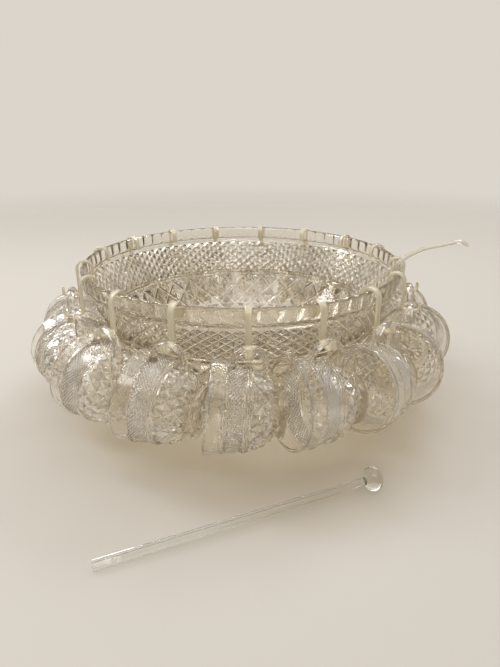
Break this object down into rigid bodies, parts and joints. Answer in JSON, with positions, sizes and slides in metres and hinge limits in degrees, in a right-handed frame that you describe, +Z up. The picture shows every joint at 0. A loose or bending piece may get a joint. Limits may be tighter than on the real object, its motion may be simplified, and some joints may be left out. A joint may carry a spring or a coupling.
{
  "type": "punch bowl set",
  "caption": "Pressed-glass punch bowl on a foot, with handled cups hung round its rim on clear hooks, a ladle and a glass stirrer.",
  "frame": {"origin": "centre of the bowl's foot, on the table", "axes": "+Z up the bowl's axis; -Y to the front, where the stirrer lies; +X to the side the ladle leans to"},
  "size_m": [0.4384, 0.504, 0.1804],
  "materials": {
    "bowl_glass": "clear pressed glass with a cut-diamond relief",
    "cup_glass": "clear pressed glass with a cut-diamond relief",
    "hook_plastic": "clear plastic, slightly yellowed",
    "ladle_plastic": "clear plastic, slightly yellowed",
    "stirrer_glass": "clear polished glass"
  },
  "bodies": {
    "bowl": {"bowl_base": "bowl_glass", "bowl_body": "bowl_glass", "bowl_band": "bowl_glass"},
    "hook_01": {"hook_01": "hook_plastic"},
    "cup_01": {"cup_01": "cup_glass"},
    "hook_02": {"hook_02": "hook_plastic"},
    "cup_02": {"cup_02": "cup_glass"},
    "hook_03": {"hook_03": "hook_plastic"},
    "cup_03": {"cup_03": "cup_glass"},
    "hook_04": {"hook_04": "hook_plastic"},
    "cup_04": {"cup_04": "cup_glass"},
    "hook_05": {"hook_05": "hook_plastic"},
    "cup_05": {"cup_05": "cup_glass"},
    "hook_06": {"hook_06": "hook_plastic"},
    "cup_06": {"cup_06": "cup_glass"},
    "hook_07": {"hook_07": "hook_plastic"},
    "cup_07": {"cup_07": "cup_glass"},
    "hook_08": {"hook_08": "hook_plastic"},
    "cup_08": {"cup_08": "cup_glass"},
    "hook_09": {"hook_09": "hook_plastic"},
    "cup_09": {"cup_09": "cup_glass"},
    "hook_10": {"hook_10": "hook_plastic"},
    "cup_10": {"cup_10": "cup_glass"},
    "hook_11": {"hook_11": "hook_plastic"},
    "cup_11": {"cup_11": "cup_glass"},
    "hook_12": {"hook_12": "hook_plastic"},
    "cup_12": {"cup_12": "cup_glass"},
    "hook_13": {"hook_13": "hook_plastic"},
    "cup_13": {"cup_13": "cup_glass"},
    "hook_14": {"hook_14": "hook_plastic"},
    "cup_14": {"cup_14": "cup_glass"},
    "hook_15": {"hook_15": "hook_plastic"},
    "cup_15": {"cup_15": "cup_glass"},
    "hook_16": {"hook_16": "hook_plastic"},
    "cup_16": {"cup_16": "cup_glass"},
    "hook_17": {"hook_17": "hook_plastic"},
    "cup_17": {"cup_17": "cup_glass"},
    "ladle": {"ladle": "ladle_plastic"},
    "stirrer": {"stirrer": "stirrer_glass"}
  },
  "joints": [
    {"name": "hook_01_rock", "type": "hinge", "parent": "bowl", "child": "hook_01", "pos_m": [0.00707, -0.16185, 0.1438], "axis": [-0.999, -0.0436, 0], "range_deg": [0, 5]},
    {"name": "cup_01_swing", "type": "hinge", "parent": "hook_01", "child": "cup_01", "pos_m": [0.00775, -0.17757, 0.10769], "axis": [0.0436, -0.999, 0], "range_deg": [-3, 7]},
    {"name": "hook_02_rock", "type": "hinge", "parent": "bowl", "child": "hook_02", "pos_m": [0.06506, -0.14836, 0.1438], "axis": [-0.9158, -0.4016, 0], "range_deg": [0, 5]},
    {"name": "cup_02_swing", "type": "hinge", "parent": "hook_02", "child": "cup_02", "pos_m": [0.07138, -0.16278, 0.10769], "axis": [0.4016, -0.9158, 0], "range_deg": [-3, 7]},
    {"name": "hook_03_rock", "type": "hinge", "parent": "bowl", "child": "hook_03", "pos_m": [0.11426, -0.11485, 0.1438], "axis": [-0.7089, -0.7053, 0], "range_deg": [0, 5]},
    {"name": "cup_03_swing", "type": "hinge", "parent": "hook_03", "child": "cup_03", "pos_m": [0.12536, -0.12601, 0.10769], "axis": [0.7053, -0.7089, 0], "range_deg": [-3, 7]},
    {"name": "hook_04_rock", "type": "hinge", "parent": "bowl", "child": "hook_04", "pos_m": [0.14803, -0.06581, 0.1438], "axis": [-0.4063, -0.9138, 0], "range_deg": [0, 5]},
    {"name": "cup_04_swing", "type": "hinge", "parent": "hook_04", "child": "cup_04", "pos_m": [0.16241, -0.07221, 0.10769], "axis": [0.9138, -0.4063, 0], "range_deg": [-3, 7]},
    {"name": "hook_05_rock", "type": "hinge", "parent": "bowl", "child": "hook_05", "pos_m": [0.16181, -0.0079, 0.1438], "axis": [-0.0487, -0.9988, 0], "range_deg": [0, 5]},
    {"name": "cup_05_swing", "type": "hinge", "parent": "hook_05", "child": "cup_05", "pos_m": [0.17753, -0.00866, 0.10769], "axis": [0.9988, -0.0487, 0], "range_deg": [-3, 7]},
    {"name": "hook_06_rock", "type": "hinge", "parent": "bowl", "child": "hook_06", "pos_m": [0.15373, 0.05109, 0.1438], "axis": [0.3154, -0.949, 0], "range_deg": [0, 5]},
    {"name": "cup_06_swing", "type": "hinge", "parent": "hook_06", "child": "cup_06", "pos_m": [0.16867, 0.05605, 0.10769], "axis": [0.949, 0.3154, 0], "range_deg": [-3, 7]},
    {"name": "hook_07_rock", "type": "hinge", "parent": "bowl", "child": "hook_07", "pos_m": [0.1249, 0.10317, 0.1438], "axis": [0.6369, -0.771, 0], "range_deg": [0, 5]},
    {"name": "cup_07_swing", "type": "hinge", "parent": "hook_07", "child": "cup_07", "pos_m": [0.13703, 0.1132, 0.10769], "axis": [0.771, 0.6369, 0], "range_deg": [-3, 7]},
    {"name": "hook_08_rock", "type": "hinge", "parent": "bowl", "child": "hook_08", "pos_m": [0.07919, 0.14132, 0.1438], "axis": [0.8724, -0.4888, 0], "range_deg": [0, 5]},
    {"name": "cup_08_swing", "type": "hinge", "parent": "hook_08", "child": "cup_08", "pos_m": [0.08689, 0.15506, 0.10769], "axis": [0.4888, 0.8724, 0], "range_deg": [-3, 7]},
    {"name": "hook_09_rock", "type": "hinge", "parent": "bowl", "child": "hook_09", "pos_m": [0.02279, 0.16039, 0.1438], "axis": [0.9901, -0.1407, 0], "range_deg": [0, 5]},
    {"name": "cup_09_swing", "type": "hinge", "parent": "hook_09", "child": "cup_09", "pos_m": [0.02501, 0.17597, 0.10769], "axis": [0.1407, 0.9901, 0], "range_deg": [-3, 7]},
    {"name": "hook_10_rock", "type": "hinge", "parent": "bowl", "child": "hook_10", "pos_m": [-0.03669, 0.15779, 0.1438], "axis": [0.974, 0.2265, 0], "range_deg": [0, 5]},
    {"name": "cup_10_swing", "type": "hinge", "parent": "hook_10", "child": "cup_10", "pos_m": [-0.04025, 0.17313, 0.10769], "axis": [-0.2265, 0.974, 0], "range_deg": [-3, 7]},
    {"name": "hook_11_rock", "type": "hinge", "parent": "bowl", "child": "hook_11", "pos_m": [-0.09121, 0.13388, 0.1438], "axis": [0.8264, 0.563, 0], "range_deg": [0, 5]},
    {"name": "cup_11_swing", "type": "hinge", "parent": "hook_11", "child": "cup_11", "pos_m": [-0.10007, 0.14689, 0.10769], "axis": [-0.563, 0.8264, 0], "range_deg": [-3, 7]},
    {"name": "hook_12_rock", "type": "hinge", "parent": "bowl", "child": "hook_12", "pos_m": [-0.13341, 0.0919, 0.1438], "axis": [0.5673, 0.8235, 0], "range_deg": [0, 5]},
    {"name": "cup_12_swing", "type": "hinge", "parent": "hook_12", "child": "cup_12", "pos_m": [-0.14638, 0.10082, 0.10769], "axis": [-0.8235, 0.5673, 0], "range_deg": [-3, 7]},
    {"name": "hook_13_rock", "type": "hinge", "parent": "bowl", "child": "hook_13", "pos_m": [-0.1576, 0.0375, 0.1438], "axis": [0.2314, 0.9728, 0], "range_deg": [0, 5]},
    {"name": "cup_13_swing", "type": "hinge", "parent": "hook_13", "child": "cup_13", "pos_m": [-0.17292, 0.04114, 0.10769], "axis": [-0.9728, 0.2314, 0], "range_deg": [-3, 7]},
    {"name": "hook_14_rock", "type": "hinge", "parent": "bowl", "child": "hook_14", "pos_m": [-0.1605, -0.02197, 0.1438], "axis": [-0.1356, 0.9908, 0], "range_deg": [0, 5]},
    {"name": "cup_14_swing", "type": "hinge", "parent": "hook_14", "child": "cup_14", "pos_m": [-0.1761, -0.0241, 0.10769], "axis": [-0.9908, -0.1356, 0], "range_deg": [-3, 7]},
    {"name": "hook_15_rock", "type": "hinge", "parent": "bowl", "child": "hook_15", "pos_m": [-0.14173, -0.07847, 0.1438], "axis": [-0.4844, 0.8749, 0], "range_deg": [0, 5]},
    {"name": "cup_15_swing", "type": "hinge", "parent": "hook_15", "child": "cup_15", "pos_m": [-0.1555, -0.08609, 0.10769], "axis": [-0.8749, -0.4844, 0], "range_deg": [-3, 7]},
    {"name": "hook_16_rock", "type": "hinge", "parent": "bowl", "child": "hook_16", "pos_m": [-0.10381, -0.12437, 0.1438], "axis": [-0.7677, 0.6408, 0], "range_deg": [0, 5]},
    {"name": "cup_16_swing", "type": "hinge", "parent": "hook_16", "child": "cup_16", "pos_m": [-0.1139, -0.13645, 0.10769], "axis": [-0.6408, -0.7677, 0], "range_deg": [-3, 7]},
    {"name": "hook_17_rock", "type": "hinge", "parent": "bowl", "child": "hook_17", "pos_m": [-0.05188, -0.15347, 0.1438], "axis": [-0.9473, 0.3202, 0], "range_deg": [0, 5]},
    {"name": "cup_17_swing", "type": "hinge", "parent": "hook_17", "child": "cup_17", "pos_m": [-0.05692, -0.16838, 0.10769], "axis": [-0.3202, -0.9473, 0], "range_deg": [-3, 7]},
    {"name": "ladle_lift", "type": "slide", "parent": "bowl", "child": "ladle", "axis": [0, 0, 1], "range_m": [0, 0.145]},
    {"name": "stirrer_lift", "type": "slide", "parent": "bowl", "child": "stirrer", "axis": [0.1954, -0.4603, 0.866], "range_m": [0, 0.1]}
  ]
}
